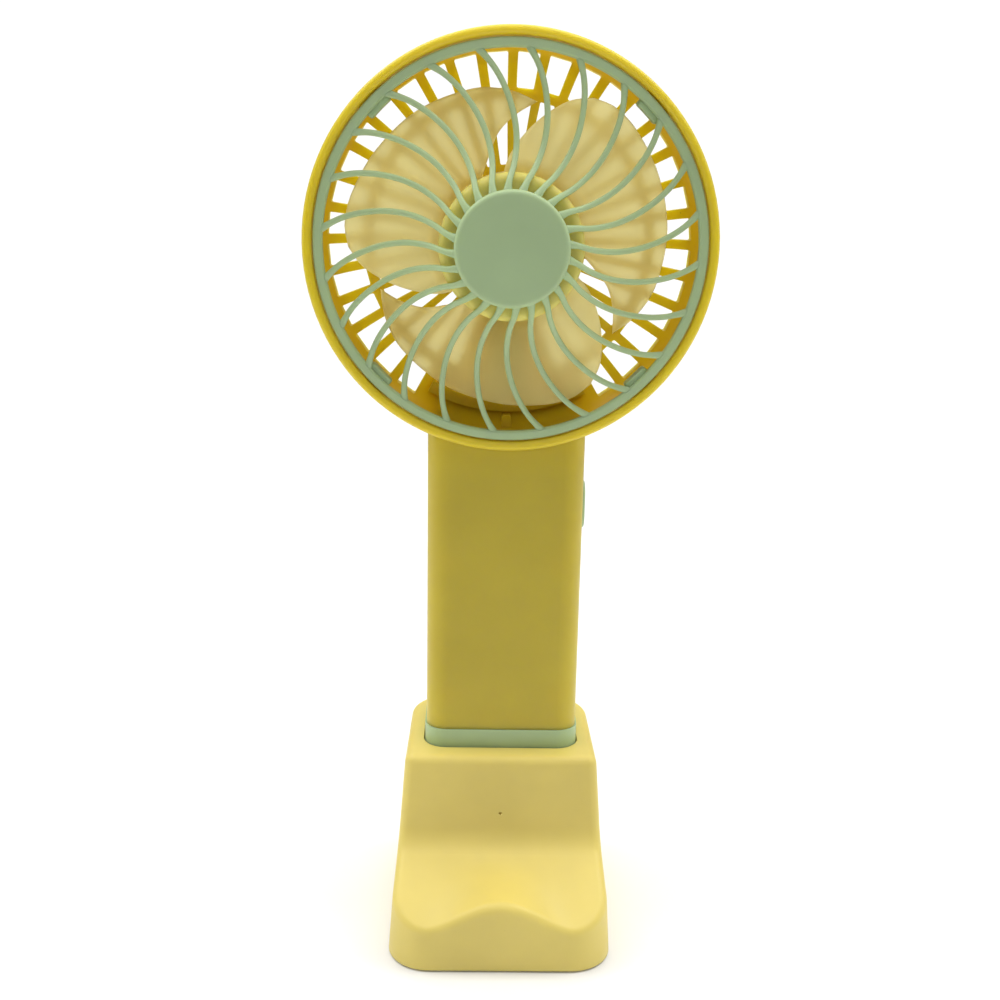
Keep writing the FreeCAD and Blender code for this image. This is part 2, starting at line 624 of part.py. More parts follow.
# ---------------------------------------------------------------- rotor
# outline of a blade as (radius, degrees clockwise from the top): the rounded trailing lobe
# and outer edge up to the pointed tip, then the leading edge back to the hub
BLADE_LOBE = [(15.2, -130.0), (20.0, -123.5), (24.0, -117.0), (28.0, -110.6), (32.1, -104.2),
              (35.8, -98.0), (38.5, -91.3), (39.6, -83.5), (39.4, -73.0), (38.5, -56.0),
              (37.8, -36.0), (36.9, -14.5), (35.5, -1.0), (33.6, 10.0)]
BLADE_TIP = [(33.6, 10.0), (30.1, 1.6), (26.3, -6.8), (22.1, -13.3), (17.7, -22.3), (15.2, -29.0)]


def blade_depth(radius, angle):
    """Depth of a blade's middle surface: near the spokes at its lobe, deepest at its tip."""
    lobe_angle = interpolate(radius, [(r, a) for r, a in BLADE_LOBE[:6]])
    tip_angle = interpolate(radius, [(r, a) for r, a in BLADE_TIP[::-1]])
    share = (angle - lobe_angle) / (tip_angle - lobe_angle)
    behind_spokes = spoke_depth(radius) + SPOKE_DEPTH / 2 + BLADE_THICKNESS / 2 + 0.9
    front = max(behind_spokes, -3.2)
    return front + (BLADE_BACK - front) * min(max(share, -0.05), 1.05)


def make_blade():
    """A twisted sheet of even thickness, trimmed to the blade's outline."""
    radii = [14.5 + 1.3 * i for i in range(20)]
    angles = [-136.0 + 8.0 * i for i in range(20)]
    grid = [[head_point(r, a, blade_depth(r, a) - BLADE_THICKNESS / 2) for a in angles]
            for r in radii]
    sheet = Part.BSplineSurface()
    sheet.interpolate(grid)
    slab = sheet.toShape().extrude(V(0, BLADE_THICKNESS, 0))
    edges = []
    for outline in (BLADE_LOBE, BLADE_TIP):
        curve = Part.BSplineCurve()
        curve.interpolate([head_point(r, a, -10) for r, a in outline])
        edges.append(curve.toShape())
    edges.append(Part.makeLine(head_point(*BLADE_TIP[-1], -10), head_point(*BLADE_LOBE[0], -10)))
    outline_prism = Part.Face(Part.Wire(edges)).extrude(V(0, 30, 0))
    return slab.common(outline_prism)


def make_rotor():
    cup = head_turned([(0, ROTOR_FRONT), (14.4, ROTOR_FRONT), (16.2, ROTOR_FRONT + 0.8),
                       (ROTOR_RADIUS, ROTOR_FRONT + 2.2), (ROTOR_RADIUS, ROTOR_BACK),
                       (15.6, ROTOR_BACK), (15.6, ROTOR_FRONT + 1.5), (3.0, ROTOR_FRONT + 1.5),
                       (3.0, MOTOR_FRONT - 0.9), (0, MOTOR_FRONT - 0.9)])
    blade = make_blade()
    blades = [turned(blade, 360.0 / BLADES * i) for i in range(BLADES)]
    bore = depth_cylinder(SHAFT_RADIUS, SHAFT_FRONT, MOTOR_FRONT)
    inside = depth_cylinder(15.6, ROTOR_FRONT + 1.5, ROTOR_BACK + 2)
    hub_boss = depth_cylinder(3.0, ROTOR_FRONT + 1.0, MOTOR_FRONT - 0.9)
    rotor = cup.fuse(blades).cut(inside).fuse(hub_boss).removeSplitter()
    return rotor.cut(bore)


# ---------------------------------------------------------------- motor
def make_motor():
    wall, bush_radius = 0.8, 2.5
    inner = MOTOR_RADIUS - wall
    bell_front = MOTOR_BACK - 1.5
    can = depth_cylinder(MOTOR_RADIUS, MOTOR_FRONT, MOTOR_BACK)
    can = can.cut([depth_cylinder(inner, MOTOR_FRONT + wall, MOTOR_BACK + 1),
                   depth_cylinder(bush_radius, MOTOR_FRONT - 1, MOTOR_FRONT + 2)])
    bell = depth_cylinder(inner, bell_front, MOTOR_BACK).cut(
        depth_cylinder(bush_radius, bell_front - 1, MOTOR_BACK + 1))
    bore = SHAFT_RADIUS + BUSH_CLEARANCE
    front_bush = depth_ring(bore, bush_radius, MOTOR_FRONT - 0.5, MOTOR_FRONT + 1.3)
    rear_bush = depth_ring(bore, bush_radius, bell_front, MOTOR_BACK + 0.6)
    stack_front, stack_back = MOTOR_FRONT + 3.2, MOTOR_FRONT + 7.6
    magnets = [head_sector(9.5, inner, stack_front - 1.3, stack_back + 2.2, a, 62.0)
               for a in (90.0, 270.0)]
    brushes = [head_sector(2.95, 6.0, stack_back + 2.0, bell_front, a, 12.0)
               for a in (0.0, 180.0)]
    terminals = [box(x - 1.0, x + 1.0, HEAD_Y + MOTOR_BACK, HEAD_Y + MOTOR_BACK + 0.4,
                     HEAD_Z - 10.4, HEAD_Z - 6.4) for x in (-2.2, 2.2)]
    shaft = depth_cylinder(SHAFT_RADIUS, SHAFT_FRONT, MOTOR_BACK + 0.4)
    hole = depth_cylinder(SHAFT_RADIUS, MOTOR_FRONT, MOTOR_BACK)
    stack = depth_cylinder(9.1, stack_front, stack_back)
    for angle in (60.0, 180.0, 300.0):
        stack = stack.cut(head_sector(4.4, 8.0, stack_front - 1, stack_back + 1, angle, 42.0))
        stack = stack.cut(head_sector(7.9, 9.3, stack_front - 1, stack_back + 1, angle, 5.0))
    windings = []
    for angle in (0.0, 120.0, 240.0):
        coil = head_sector(4.6, 7.8, stack_front - 1.1, stack_back + 1.1, angle, 34.0)
        windings.append(coil.cut([stack, depth_cylinder(3.6, MOTOR_FRONT, MOTOR_BACK)]))
    commutator = depth_cylinder(2.6, stack_back + 1.2, bell_front - 0.1).cut(hole)
    spacer = depth_cylinder(2.2, stack_back, stack_back + 1.2).cut(hole)
    return {
        "motor_can": can, "motor_end_bell": bell, "front_bush": front_bush,
        "rear_bush": rear_bush, "motor_magnets": Part.makeCompound(magnets),
        "motor_brushes": Part.makeCompound(brushes),
        "motor_terminals": Part.makeCompound(terminals), "motor_shaft": shaft,
        "armature_core": largest(stack.cut(hole)),
        "armature_windings": Part.makeCompound([s for w in windings for s in w.Solids]),
        "commutator": fused(commutator, spacer)}


# ---------------------------------------------------------------- battery and electronics
def rounded_slot(width, height, y0, y1, z):
    """A round-ended upright slot or bar along Y, centred on X = 0."""
    radius = width / 2
    reach = height / 2 - radius
    bar = box(-radius, radius, y0, y1, z - reach, z + reach)
    ends = [Part.makeCylinder(radius, y1 - y0, V(0, y0, z + side * reach), Y_AXIS)
            for side in (-1, 1)]
    return fused(bar, *ends)


def make_battery():
    cell_top = CELL_Z0 + CELL_LENGTH
    cell = Part.makeCylinder(CELL_RADIUS, CELL_LENGTH - 1.2, V(0, CELL_Y, CELL_Z0))
    cap = Part.makeCylinder(6.2, 0.8, V(0, CELL_Y, cell_top - 1.2))
    cap = cap.fuse(Part.makeCylinder(2.8, 0.4, V(0, CELL_Y, cell_top - 0.4))).removeSplitter()
    tabs = [box(-3, 3, CELL_Y - 3, CELL_Y + 8.5, cell_top, cell_top + 0.3),
            box(-11.8, 3, CELL_Y - 2.5, CELL_Y + 2.5, CELL_Z0 - 0.3, CELL_Z0)]
    pad = box(-6.5, 6.5, HANDLE_Y0 + HANDLE_WALL, CELL_Y - CELL_RADIUS, 60, 92)
    return {"battery_cell": cell, "battery_cap": cap,
            "battery_tabs": Part.makeCompound(tabs), "battery_pad": pad}


def make_electronics():
    board = box(-BOARD_HALF, BOARD_HALF, BOARD_Y0, BOARD_Y1, BOARD_Z0, BOARD_Z1)
    usb_y1 = HANDLE_Y1 - 0.5
    usb = rounded_slot(3.2, 8.9, BOARD_Y1, usb_y1, USB_Z)
    mouth = rounded_slot(2.6, 8.3, usb_y1 - 6.0, usb_y1 + 1, USB_Z)
    tongue = box(-0.35, 0.35, usb_y1 - 6.2, usb_y1 - 0.8, USB_Z - 3.1, USB_Z + 3.1)
    usb = fused(usb.cut(mouth), tongue)
    chips = [box(-9.4, -5.4, BOARD_Y0 - 1.5, BOARD_Y0, 113.0, 118.0),
             box(3.0, 7.0, BOARD_Y0 - 1.2, BOARD_Y0, 118.0, 122.0)]
    coil = Part.makeCylinder(3.0, 2.6, V(-1.2, BOARD_Y0 - 2.6, 107.2), Y_AXIS)
    passives = [box(x, x + 1.2, BOARD_Y0 - 0.8, BOARD_Y0, z, z + 2.0)
                for x in (-12.6, -3.4, 0.2) for z in (112.4, 116.0, 119.6)]
    led = box(-0.8, 0.8, BOARD_Y1, BOARD_Y1 + 0.8, BOARD_Z0 + 0.4, BOARD_Z0 + 2.0)
    lens = Part.makeCylinder(0.85, HANDLE_Y1 + 0.1 - BOARD_Y1 - 0.8,
                             V(0, BOARD_Y1 + 0.8, BOARD_Z0 + 1.2), Y_AXIS)
    housing = box(9.0, 14.2, BOARD_Y0 - 4.4, BOARD_Y0, BUTTON_Z - 3, BUTTON_Z + 3)
    housing = housing.cut(Part.makeCylinder(1.1, 3.0, V(12.6, BUTTON_Y, BUTTON_Z), X_AXIS))
    return {"circuit_board": board, "usb_socket": usb,
            "control_chips": Part.makeCompound(chips),
            "boost_coil": coil, "board_passives": Part.makeCompound(passives),
            "charge_led": led, "led_light_pipe": lens, "switch_housing": housing}


def button_prism(grow, x0, x1):
    """A round-ended bar along X in the power button's outline."""
    radius = BUTTON_WIDTH / 2 + grow
    reach = (BUTTON_LENGTH - BUTTON_WIDTH) / 2
    bar = box(x0, x1, BUTTON_Y - radius, BUTTON_Y + radius, BUTTON_Z - reach, BUTTON_Z + reach)
    ends = [Part.makeCylinder(radius, x1 - x0, V(x0, BUTTON_Y, BUTTON_Z + side * reach), X_AXIS)
            for side in (-1, 1)]
    return fused(bar, *ends)


def make_button():
    inner_wall = HANDLE_WIDTH / 2 - HANDLE_WALL
    face = HANDLE_WIDTH / 2 + BUTTON_PROUD
    cap = button_prism(0.0, inner_wall - 1.2, face)
    edge = [e for e in cap.Edges if abs(e.CenterOfMass.x - face) < 0.01]
    cap = cap.makeFillet(0.7, edge)
    flange = button_prism(1.0, inner_wall - 1.2, inner_wall - 0.35)
    button = fused(cap, flange)
    plunger = Part.makeCylinder(0.95, inner_wall - 1.2 - 13.2, V(13.2, BUTTON_Y, BUTTON_Z), X_AXIS)
    return {"power_button": button, "switch_plunger": plunger}


def make_leads():
    """Motor leads down the spine to the board, and battery leads up to it."""
    terminal_y, channel_y = HEAD_Y + MOTOR_BACK + 0.4, HEAD_Y + CHANNEL_DEPTH - 1.1
    leads = {}
    for name, side in (("motor_lead_red", -1), ("motor_lead_black", 1)):
        x, z = side * 2.2, HEAD_Z - 8.4
        leads[name] = lead([V(x, terminal_y, z), V(x, channel_y, z), V(x, channel_y, 134.5),
                            V(x + side * 0.7, 19.0, 129.6),
                            V(x + side * 2.2, 15.2, BOARD_Z1 + 0.3)])
    leads["battery_lead_red"] = lead([V(4.0, CELL_Y + 6.6, 100.9), V(5.6, CELL_Y + 6.6, 101.1),
                                      V(6.6, 17.6, 103.2), V(6.6, 16.5, 105.6)])
    leads["battery_lead_black"] = lead([V(-11.4, CELL_Y, CELL_Z0 + 0.6), V(-11.4, CELL_Y, 44),
                                        V(-10.0, CELL_Y + 5.8, 52), V(-9.3, CELL_Y + 7.7, 62),
                                        V(-9.4, CELL_Y + 7.9, 80), V(-9.5, 19.0, 96),
                                        V(-10.6, 16.7, 104.5)])
    return leads


# ---------------------------------------------------------------- write the parts
nodes = {"dock_shell": make_dock_shell(), "dock_base_plate": make_dock_base(),
         "dock_feet": make_dock_feet(), "dock_screws": make_dock_screws(),
         "wire_channel_cover": make_channel_cover(), "handle_end_cap": make_end_cap(),
         "shell_screws": make_shell_screws(), "front_grille": make_grille(),
         "fan_rotor": make_rotor()}
nodes["front_shell"], nodes["rear_shell"] = make_shells()
for group in (make_motor(), make_battery(), make_electronics(), make_button(), make_leads()):
    nodes.update(group)

for name, shape in nodes.items():
    shape.exportStep("parts/" + name + ".step")
    size = shape.BoundBox
    print(name, "solids", len(shape.Solids), "valid", shape.isValid(), "volume",
          round(shape.Volume, 1), "x", round(size.XMin, 2), round(size.XMax, 2),
          "y", round(size.YMin, 2), round(size.YMax, 2), "z", round(size.ZMin, 2), round(size.ZMax, 2))
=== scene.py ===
"""The looks of a handheld fan standing in its desk dock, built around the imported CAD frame."""

import json
import math

import bmesh
import bpy
from mathutils import Matrix, Vector


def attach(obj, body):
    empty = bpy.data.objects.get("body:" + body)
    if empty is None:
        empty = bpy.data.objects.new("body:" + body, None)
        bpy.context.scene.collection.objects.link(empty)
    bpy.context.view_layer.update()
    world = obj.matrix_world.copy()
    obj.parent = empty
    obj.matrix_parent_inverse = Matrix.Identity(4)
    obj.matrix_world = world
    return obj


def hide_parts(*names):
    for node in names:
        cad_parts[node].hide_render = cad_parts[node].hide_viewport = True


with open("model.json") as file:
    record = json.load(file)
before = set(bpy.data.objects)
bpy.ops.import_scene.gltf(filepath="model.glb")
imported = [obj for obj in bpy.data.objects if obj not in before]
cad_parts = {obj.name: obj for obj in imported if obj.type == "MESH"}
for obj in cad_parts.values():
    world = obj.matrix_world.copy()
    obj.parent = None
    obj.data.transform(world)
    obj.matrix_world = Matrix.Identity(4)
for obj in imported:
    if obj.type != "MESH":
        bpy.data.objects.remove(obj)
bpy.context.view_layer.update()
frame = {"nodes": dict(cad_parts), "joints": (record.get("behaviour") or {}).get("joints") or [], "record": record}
MM = 0.001

# ---------------------------------------------------------------- places and sizes
HEAD = Vector(next(j for j in frame["joints"] if j["name"] == "rotor_spin")["pos_m"])

# The head's pieces are in millimetres and degrees. A radius is measured from the rotor's axis, a depth
# backwards from the front of the grille's ring, and an angle clockwise from the top, seen from the front.
RING_INNER, RING_OUTER, RING_BACK = 44.3, 46.6, 1.7
HUB_RADIUS, HUB_FACE, HUB_BACK = 13.3, -12.0, -8.2
SPOKES, SPOKE_FIRST = 24, 3.5
SPOKE_WIDTH, SPOKE_DEPTH = 1.4, 1.45
# how far from the ring and the hub a spoke starts to flare, and by how much on each side
RING_FLARE_LENGTH, RING_FLARE = 3.0, 0.2
HUB_FLARE_LENGTH, HUB_FLARE_WIDE, HUB_FLARE_DEEP = 2.5, 0.3, 0.2
# below 1, the spoke's section goes from an ellipse towards a rounded bar
SPOKE_POWER = 0.8
# radius, angle from the spoke's place on the ring, depth
SPOKE_PATH = [(12.2, 5.3, -9.9), (15.0, 7.8, -8.7), (18.5, 11.7, -6.0), (23.0, 13.1, -3.5),
              (28.0, 12.1, -1.9), (34.0, 9.1, -0.6), (40.0, 5.0, 0.4), (45.2, 0.3, 0.85)]
LUG_ANGLES = (45.0, 135.0, 225.0, 315.0)
LUG_LENGTH, LUG_BACK = 6.6, 4.5
# a lug's post and the foot on its end: inner radius, outer radius, front, rounding of the corners
LUG_POST, LUG_FOOT = (43.0, 45.2, 1.3, 0.4), (43.4, 46.4, 3.45, 0.3)
ROTOR_RADIUS, ROTOR_FRONT, ROTOR_BACK, ROTOR_WALL = 17.0, -6.9, 13.0, 1.4
# the sleeve in the rotor's hub that grips the motor's shaft, and the bore's blind end
SLEEVE_RADIUS, SLEEVE_BACK, BORE_RADIUS, BORE_END = 3.0, 4.6, 1.0, -2.0
BLADES, BLADE_THICKNESS, BLADE_BACK = 3, 1.1, 11.0
# room between the spokes and a blade, and the furthest forward that a blade's middle may come
BLADE_CLEARANCE, BLADE_FRONT = 0.9, -3.2
# the S curve across the blade's root, as a share of its depth; it fades out towards the rim
BLADE_CURVE = 0.12
# the shares of the blade over which its side edges and its outer edge thin out
SIDE_EDGE, OUTER_EDGE = 0.03, 0.04
# the blade's outline as (radius, angle)
BLADE_LOBE = [(15.2, -130.0), (20.0, -123.5), (24.0, -117.0), (28.0, -110.6), (32.1, -104.2),
              (35.8, -98.0), (38.5, -91.3)]
BLADE_RIM = [(38.5, -91.3), (39.6, -83.5), (39.4, -73.0), (38.5, -56.0), (37.8, -36.0),
             (36.9, -14.5), (35.5, -1.0), (33.6, 10.0)]
BLADE_TIP = [(15.2, -29.0), (17.7, -22.3), (22.1, -13.3), (26.3, -6.8), (30.1, 1.6), (33.6, 10.0)]

# heights in metres between which the shells' colour goes from the handle's darker tone, which is painted shade, to
# the head's lighter, more saturated tone, which is a painted glow of light through the thin plastic; the shells
# are one plastic
NECK_HEIGHTS = (0.118, 0.130)
FLOOR_RADIUS, FLOOR_THICKNESS = 0.55, 0.01


# ---------------------------------------------------------------- geometry helpers
def head_point(radius, clockwise, depth):
    """A point in the head, its angle in degrees clockwise from the top seen from the front."""
    a = math.radians(clockwise)
    return HEAD + Vector((radius * math.sin(a), depth, radius * math.cos(a))) * MM


def smooth(points, x):
    """A smooth curve through rising (x, y...) stations; returns the y values at x."""
    last = len(points) - 1
    i = min(max(sum(p[0] <= x for p in points) - 1, 0), last - 1)
    span = points[i + 1][0] - points[i][0]
    t = min(max((x - points[i][0]) / span, 0.0), 1.0)

    def slope(k, c):
        a, b = points[max(k - 1, 0)], points[min(k + 1, last)]
        return (b[c] - a[c]) / (b[0] - a[0])

    out = []
    for c in range(1, len(points[0])):
        y0, y1 = points[i][c], points[i + 1][c]
        m0, m1 = slope(i, c) * span, slope(i + 1, c) * span
        out.append((2 * t**3 - 3 * t**2 + 1) * y0 + (t**3 - 2 * t**2 + t) * m0
                   + (3 * t**2 - 2 * t**3) * y1 + (t**3 - t**2) * m1)
    return out


def along(points, share):
    """A point of a smooth open curve through the points, share running from 0 to 1."""
    stations = [(0.0, *points[0])]
    for p, q in zip(points, points[1:]):
        stations.append((stations[-1][0] + math.dist(p, q), *q))
    return Vector(smooth(stations, share * stations[-1][0]))


def rounded(outline, radius, steps=6, closed=True):
    """A (radius, depth) outline with its corners rounded off; a third value sets one corner's own."""
    points, count = [], len(outline)
    for i, corner in enumerate(outline):
        r = corner[2] if len(corner) > 2 else radius
        here = Vector(corner[:2])
        if r == 0 or (not closed and i in (0, count - 1)):
            points.append(here)
            continue
        back = Vector(outline[i - 1][:2]) - here
        on = Vector(outline[(i + 1) % count][:2]) - here
        half = back.angle(on) / 2
        reach = min(r / math.tan(half), 0.49 * back.length, 0.49 * on.length)
        start, end = here + back.normalized() * reach, here + on.normalized() * reach
        for k in range(steps + 1):
            t = k / steps
            points.append(start * (1 - t)**2 + here * 2 * t * (1 - t) + end * t**2)
    return points


def mesh_object(name, build, material):
    """An object from a function that fills a bmesh; smooth shaded, with its normals outwards."""
    bm = bmesh.new()
    build(bm)
    bmesh.ops.remove_doubles(bm, verts=bm.verts, dist=2e-6)
    bmesh.ops.recalc_face_normals(bm, faces=bm.faces)
    mesh = bpy.data.meshes.new(name)
    bm.to_mesh(mesh)
    bm.free()
    mesh.shade_smooth()
    mesh.set_sharp_from_angle(angle=math.radians(38))
    mesh.materials.append(material)
    obj = bpy.data.objects.new(name, mesh)
    bpy.context.scene.collection.objects.link(obj)
    return obj


def quads(bm, rings, closed_rings=True, closed_run=False, caps=False):
    """Faces between rows of vertices."""
    rows = [[bm.verts.new(p) for p in ring] for ring in rings]
    runs = list(zip(rows, rows[1:])) + ([(rows[-1], rows[0])] if closed_run else [])
    for a, b in runs:
        n = len(a)
        for i in range(n if closed_rings else n - 1):
            j = (i + 1) % n
            bm.faces.new((a[i], a[j], b[j], b[i]))
    if caps:
        for row in (rows[0], rows[-1]):
            middle = bm.verts.new(sum((v.co for v in row), Vector()) / len(row))
            for i, v in enumerate(row):
                bm.faces.new((v, row[(i + 1) % len(row)], middle))


def lathe(bm, outline, segments):
    """A closed (radius, depth) outline turned about the head's axis."""
    rings = []
    for k in range(segments):
        angle = 360.0 * k / segments
        rings.append([head_point(max(r, 0.0), angle, d) for r, d in outline])
    quads(bm, rings, closed_run=True)


def turn_about_head(angle):
    """The turn, in degrees clockwise seen from the front, as a matrix."""
    to = Matrix.Translation(HEAD)
    return to @ Matrix.Rotation(math.radians(angle), 4, "Y") @ to.inverted()


# ---------------------------------------------------------------- materials
# texture scales, in cycles per metre
CLOUDS, GLOSS_PATCHES, SPECKS = 38.0, 160.0, 75.0
MOULD_GRAIN, BRUSHED_GRAIN, RUBBER_GRAIN = 1700.0, 2600.0, 1500.0
# a speck's radius as a share of the distance between specks, and its darkness
SPECK_RADIUS, SPECK_SHADE = 0.018, 0.85
# how far red, green and blue light travel inside the plastics, compared with each other
GLOW_REACH = (1.0, 0.92, 0.25)


def shader(name):
    """A new node material with its Principled shader and the object-space coordinates."""
    material = bpy.data.materials.new(name)
    material.use_nodes = True
    nodes = material.node_tree.nodes
    where = nodes.new("ShaderNodeTexCoord").outputs["Object"]
    return material, nodes, material.node_tree.links, nodes["Principled BSDF"], where


def noise(nodes, links, where, scale, detail=3.0):
    """Cloudy noise of a scale in cycles per metre."""
    node = nodes.new("ShaderNodeTexNoise")
    node.inputs["Scale"].default_value = scale
    node.inputs["Detail"].default_value = detail
    links.new(where, node.inputs["Vector"])
    return node.outputs["Fac"]


def ramp(nodes, links, value, stops):
    """A colour ramp from (place, colour) stops."""
    node = nodes.new("ShaderNodeValToRGB")
    elements = node.color_ramp.elements
    while len(elements) < len(stops):
        elements.new(0.5)
    for element, (place, colour) in zip(elements, stops):
        element.position = place
        element.color = (*colour, 1.0)
    links.new(value, node.inputs["Fac"])
    return node.outputs["Color"]


def spread(nodes, links, value, low, high):
    """Noise spread over a range of numbers."""
    node = nodes.new("ShaderNodeMapRange")
    node.inputs["From Min"].default_value = 0.3
    node.inputs["From Max"].default_value = 0.7
    node.inputs["To Min"].default_value = low
    node.inputs["To Max"].default_value = high
    links.new(value, node.inputs["Value"])
    return node.outputs["Result"]


def bump(nodes, links, bsdf, height, strength, distance):
    """A fine relief that only bends the light; the distance is in metres."""
    node = nodes.new("ShaderNodeBump")
    node.inputs["Strength"].default_value = strength
    node.inputs["Distance"].default_value = distance
    links.new(height, node.inputs["Height"])
    links.new(node.outputs["Normal"], bsdf.inputs["Normal"])


def shade(colour, factor):
    """A darker or lighter tone of a colour."""
    return tuple(min(c * factor, 1.0) for c in colour)


def blend_by_height(nodes, links, where, low, high, heights):
    """Turns from one colour to another between two heights in metres."""
    split = nodes.new("ShaderNodeSeparateXYZ")
    links.new(where, split.inputs["Vector"])
    share = nodes.new("ShaderNodeMapRange")
    share.inputs["From Min"].default_value, share.inputs["From Max"].default_value = heights
    links.new(split.outputs["Z"], share.inputs["Value"])
    mix = nodes.new("ShaderNodeMix")
    mix.data_type = "RGBA"
    links.new(share.outputs["Result"], mix.inputs["Factor"])
    links.new(low, mix.inputs["A"])
    links.new(high, mix.inputs["B"])
    return mix.outputs["Result"]


def plastic(name, colour, rough=(0.34, 0.46), tone=0.06, grain=MOULD_GRAIN, relief=0.05, glow=0.0,
            glow_depth=0.004, through=0.0, ior=1.46, painted_glow_colour=None):
    """Satin moulded plastic: cloudy tone, fine spark-eroded grain, uneven gloss, rare specks."""
    material, nodes, links, bsdf, where = shader(name)
    clouds = noise(nodes, links, where, CLOUDS)
    base = ramp(nodes, links, clouds, [(0.3, shade(colour, 1 - tone)), (0.7, shade(colour, 1 + tone))])
    # a second, lighter and more saturated colour for the head above the neck: a painted glow of light through the
    # thin walls
    if painted_glow_colour:
        painted_glow_tone = ramp(nodes, links, clouds, [(0.3, shade(painted_glow_colour, 1 - tone)), (0.7, painted_glow_colour)])
        base = blend_by_height(nodes, links, where, base, painted_glow_tone, NECK_HEIGHTS)
    specks = nodes.new("ShaderNodeTexVoronoi")
    specks.inputs["Scale"].default_value = SPECKS
    links.new(where, specks.inputs["Vector"])
    mask = nodes.new("ShaderNodeMath")
    mask.operation = "LESS_THAN"
    mask.inputs[1].default_value = SPECK_RADIUS
    links.new(specks.outputs["Distance"], mask.inputs[0])
    mix = nodes.new("ShaderNodeMix")
    mix.data_type = "RGBA"
    links.new(mask.outputs[0], mix.inputs["Factor"])
    links.new(base, mix.inputs["A"])
    mix.inputs["B"].default_value = (*shade(colour, SPECK_SHADE), 1.0)
    links.new(mix.outputs["Result"], bsdf.inputs["Base Color"])
    gloss = noise(nodes, links, where, GLOSS_PATCHES)
    links.new(spread(nodes, links, gloss, *rough), bsdf.inputs["Roughness"])
    bump(nodes, links, bsdf, noise(nodes, links, where, grain, 4.0), relief, 0.0001)
    bsdf.inputs["IOR"].default_value = ior
    bsdf.inputs["Subsurface Weight"].default_value = glow
    bsdf.inputs["Subsurface Radius"].default_value = GLOW_REACH
    bsdf.inputs["Subsurface Scale"].default_value = glow_depth
    bsdf.inputs["Transmission Weight"].default_value = through
    return material


def metal(name, colour, rough=(0.22, 0.38)):
    """Drawn or turned metal with a brushed grain that runs upwards."""
    material, nodes, links, bsdf, where = shader(name)
    mapping = nodes.new("ShaderNodeMapping")
    mapping.inputs["Scale"].default_value = (1.0, 1.0, 0.06)
    links.new(where, mapping.inputs["Vector"])
    lines = noise(nodes, links, mapping.outputs["Vector"], BRUSHED_GRAIN, 5.0)
    tint = ramp(nodes, links, lines, [(0.3, shade(colour, 0.86)), (0.7, shade(colour, 1.08))])
    links.new(tint, bsdf.inputs["Base Color"])
    links.new(spread(nodes, links, lines, *rough), bsdf.inputs["Roughness"])
    bump(nodes, links, bsdf, lines, 0.12, 0.00005)
    bsdf.inputs["Metallic"].default_value = 1.0
    return material


def rubber(name, colour):
    """Soft matt rubber or wire insulation."""
    material, nodes, links, bsdf, where = shader(name)
    dust = noise(nodes, links, where, RUBBER_GRAIN, 6.0)
    tint = ramp(nodes, links, dust, [(0.35, shade(colour, 0.8)), (0.7, shade(colour, 1.25))])
    links.new(tint, bsdf.inputs["Base Color"])
    links.new(spread(nodes, links, dust, 0.62, 0.82), bsdf.inputs["Roughness"])
    bump(nodes, links, bsdf, dust, 0.25, 0.0001)
    return material


def board(name):
    """Green solder mask with copper tracks under it."""
    material, nodes, links, bsdf, where = shader(name)
    tracks = nodes.new("ShaderNodeTexBrick")
    tracks.inputs["Scale"].default_value = 420.0
    tracks.inputs["Mortar Size"].default_value = 0.035
    links.new(where, tracks.inputs["Vector"])
    tracks.inputs["Color1"].default_value = (0.012, 0.16, 0.05, 1)
    tracks.inputs["Color2"].default_value = (0.014, 0.19, 0.06, 1)
    tracks.inputs["Mortar"].default_value = (0.05, 0.30, 0.09, 1)
    links.new(tracks.outputs["Color"], bsdf.inputs["Base Color"])
    links.new(spread(nodes, links, noise(nodes, links, where, 500.0), 0.28, 0.4), bsdf.inputs["Roughness"])
    bump(nodes, links, bsdf, tracks.outputs["Fac"], 0.3, 0.00005)
    return material


def wound_wire(name, colour):
    """Enamelled copper wire lying in layers, with painted shade in the grooves between the turns."""
    material, nodes, links, bsdf, where = shader(name)
    wave = nodes.new("ShaderNodeTexWave")
    wave.bands_direction = "Y"
    wave.inputs["Scale"].default_value = 700.0
    wave.inputs["Distortion"].default_value = 1.2
    links.new(where, wave.inputs["Vector"])
    # the dark ends of the bands are painted shade in the grooves between the wires
    tint = ramp(nodes, links, wave.outputs["Fac"], [(0.0, shade(colour, 0.45)), (1.0, colour)])
    links.new(tint, bsdf.inputs["Base Color"])
    links.new(spread(nodes, links, noise(nodes, links, where, 900.0), 0.2, 0.35), bsdf.inputs["Roughness"])
    bump(nodes, links, bsdf, wave.outputs["Fac"], 0.6, 0.0002)
    bsdf.inputs["Metallic"].default_value = 0.85
    return material


